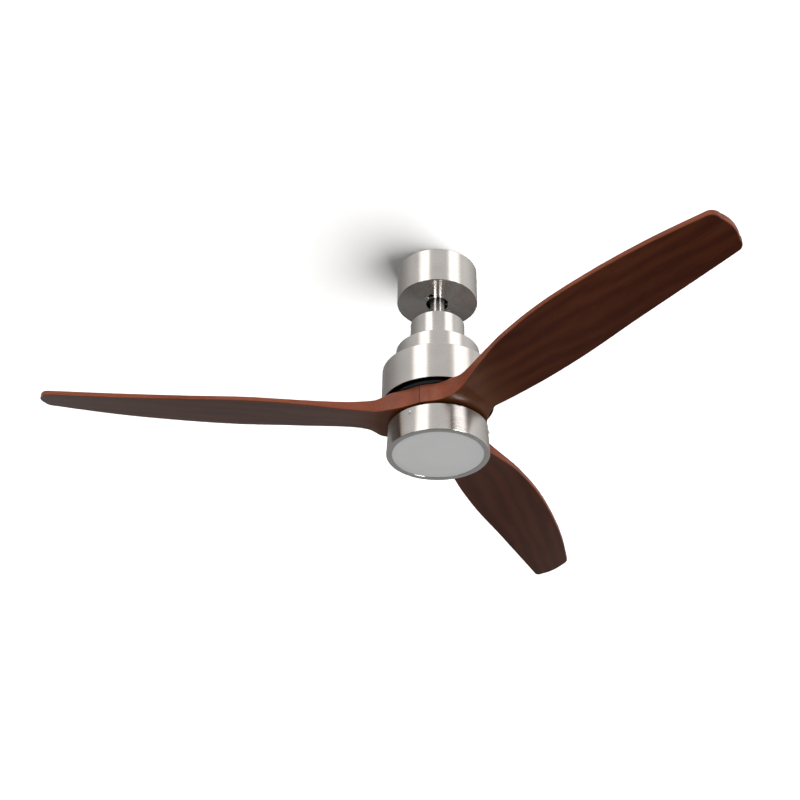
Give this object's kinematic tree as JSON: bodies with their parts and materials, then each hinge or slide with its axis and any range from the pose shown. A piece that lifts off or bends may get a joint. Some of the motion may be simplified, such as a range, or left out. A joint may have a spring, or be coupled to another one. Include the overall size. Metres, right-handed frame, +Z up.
{
  "type": "ceiling fan with light",
  "caption": "Ceiling fan on a short downrod: brushed nickel canopy and stepped motor housing, carved dark wood blades that meet in a hub, and a round opal lamp below.",
  "frame": {"origin": "centre of the ceiling face, on the fan's axis, midway between the two slots of the ceiling bracket", "axes": "+Z up into the ceiling, along the fan's axis; +X along the line of the two ceiling slots; the fan hangs below z = 0"},
  "size_m": [1.0776, 1.1489, 0.3915],
  "materials": {
    "brushed_nickel": "circumferentially brushed satin nickel",
    "rod_nickel": "bright satin nickel",
    "zinc_steel": "zinc plated",
    "screw_steel": "nickel plated",
    "black_screw": "black oxide",
    "earth_green": "green passivated",
    "black_paint": "satin black paint",
    "cast_aluminium": "die cast",
    "shaft_steel": "ground steel",
    "core_steel": "laminated electrical steel",
    "copper_winding": "enamelled copper",
    "bearing_steel": "polished bearing steel",
    "bearing_brass": "machined brass",
    "magnet_grey": "sintered ferrite",
    "black_rubber": "matt rubber",
    "liner_nylon": "matt nylon",
    "ball_nylon": "glass filled nylon",
    "white_plastic": "moulded white",
    "supply_wire": "PVC sheath",
    "motor_wire": "silicone sheath",
    "lamp_wire": "PVC sheath",
    "board_green": "solder resist",
    "board_black": "moulded parts",
    "led_white": "white solder resist",
    "led_yellow": "phosphor",
    "opal": "opal acrylic, unlit",
    "walnut": "satin lacquered walnut stain"
  },
  "bodies": {
    "ceiling_mount": {"ceiling_bracket": "zinc_steel", "canopy": "brushed_nickel", "canopy_screws": "screw_steel", "terminal_block": "white_plastic", "earth_screw": "earth_green"},
    "liner": {"seat_liner": "liner_nylon"},
    "pendant": {"hanger_ball": "ball_nylon", "ball_pin": "zinc_steel", "downrod": "rod_nickel", "supply_leads": "supply_wire", "lead_plug": "white_plastic", "motor_coupling": "cast_aluminium", "clevis_pin": "zinc_steel", "clevis_clip": "zinc_steel", "set_screws": "black_screw", "coupling_cover": "brushed_nickel", "driver_housing": "brushed_nickel", "motor_housing": "brushed_nickel", "hanger_plate": "zinc_steel", "housing_screws": "screw_steel", "driver_board": "board_green", "board_parts": "board_black", "board_standoffs": "white_plastic", "stator_shaft": "shaft_steel", "shaft_nuts": "zinc_steel", "shaft_spacers": "zinc_steel", "shaft_circlip": "black_screw", "stator_hub": "cast_aluminium", "stator_core": "core_steel", "stator_windings": "copper_winding", "motor_leads": "motor_wire", "upper_inner_ring": "bearing_steel", "lower_inner_ring": "bearing_steel", "lamp_mount_plate": "black_paint", "lamp_cup": "brushed_nickel", "lamp_screws": "screw_steel", "sink_standoffs": "zinc_steel", "led_heat_sink": "cast_aluminium", "led_driver": "white_plastic", "lamp_leads": "lamp_wire", "led_board": "led_white", "led_chips": "led_yellow", "light_reflector": "white_plastic", "diffuser": "opal"},
    "rotor": {"rotor_upper_cover": "black_paint", "rotor_lower_cover": "black_paint", "rotor_screws": "screw_steel", "back_iron": "core_steel", "magnets": "magnet_grey", "upper_outer_ring": "bearing_steel", "lower_outer_ring": "bearing_steel", "blade_gasket": "black_rubber", "blade_1": "walnut", "blade_2": "walnut", "blade_3": "walnut", "blade_clamp_plate": "black_paint", "blade_screws": "black_screw"},
    "upper_cage": {"upper_bearing_cage": "bearing_brass"},
    "lower_cage": {"lower_bearing_cage": "bearing_brass"}
  },
  "joints": [
    {"name": "hanger_tilt_x", "type": "hinge", "parent": "ceiling_mount", "child": "liner", "pos_m": [0, 0, -0.038], "axis": [1, 0, 0], "range_deg": [-8, 8]},
    {"name": "hanger_tilt_y", "type": "hinge", "parent": "liner", "child": "pendant", "pos_m": [0, 0, -0.038], "axis": [0, 1, 0], "range_deg": [-8, 8]},
    {"name": "rotor_spin", "type": "hinge", "parent": "pendant", "child": "rotor", "pos_m": [0, 0, -0.262], "axis": [0, 0, 1], "continuous": true},
    {"name": "upper_bearing_spin", "type": "hinge", "parent": "pendant", "child": "upper_cage", "pos_m": [0, 0, -0.244], "axis": [0, 0, 1], "continuous": true},
    {"name": "lower_bearing_spin", "type": "hinge", "parent": "pendant", "child": "lower_cage", "pos_m": [0, 0, -0.288], "axis": [0, 0, 1], "continuous": true}
  ],
  "couplings": [
    {"joint": "upper_bearing_spin", "follows": "rotor_spin", "ratio": 0.6184},
    {"joint": "lower_bearing_spin", "follows": "rotor_spin", "ratio": 0.6184}
  ]
}
